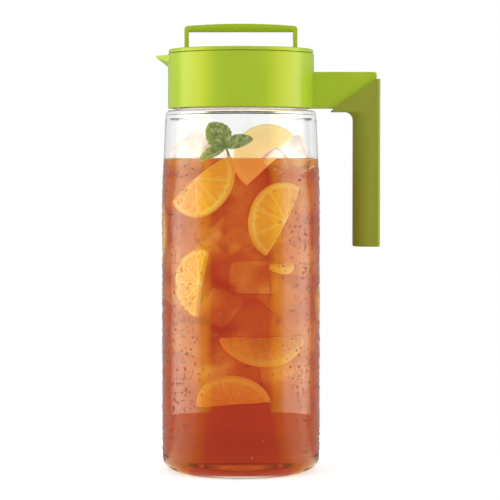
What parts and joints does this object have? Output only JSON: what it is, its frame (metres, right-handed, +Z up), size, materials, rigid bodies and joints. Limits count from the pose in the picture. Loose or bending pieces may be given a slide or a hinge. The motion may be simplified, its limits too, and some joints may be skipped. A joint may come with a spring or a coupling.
{
  "type": "pitcher",
  "caption": "Round clear plastic pitcher with a screwed-on collar carrying its spout and side handle, a lid that turns to pour and lifts out, and a folding bail.",
  "frame": {"origin": "middle of the base, on the surface the pitcher stands on", "axes": "+Z up along the body's axis, -X towards the spout, +X towards the handle"},
  "size_m": [0.1503, 0.106, 0.3008],
  "materials": {
    "clear_plastic": "clear, polished, water-white",
    "lime_plastic": "satin moulded",
    "grip_silicone": "matte silicone",
    "seal_silicone": "milky silicone"
  },
  "bodies": {
    "pitcher": {"pitcher_body": "clear_plastic", "neck_gasket": "seal_silicone", "collar": "lime_plastic", "handle_grip": "grip_silicone"},
    "insert": {"strainer_insert": "lime_plastic", "insert_seal": "seal_silicone", "hub_clip": "lime_plastic", "hub_seal": "seal_silicone"},
    "lid": {"lid_cap": "lime_plastic", "cap_seal": "seal_silicone", "spout_pad": "seal_silicone"},
    "bail": {"bail_handle": "lime_plastic"}
  },
  "joints": [
    {"name": "lid_lift", "type": "slide", "parent": "pitcher", "child": "insert", "axis": [0, 0, 1], "range_m": [0, 0.06]},
    {"name": "lid_turn", "type": "hinge", "parent": "insert", "child": "lid", "pos_m": [0, 0, 0.2745], "axis": [0, 0, 1], "range_deg": [0, 90]},
    {"name": "bail_fold", "type": "hinge", "parent": "lid", "child": "bail", "pos_m": [0, 0, 0.279], "axis": [1, 0, 0], "range_deg": [-90, 90]}
  ]
}
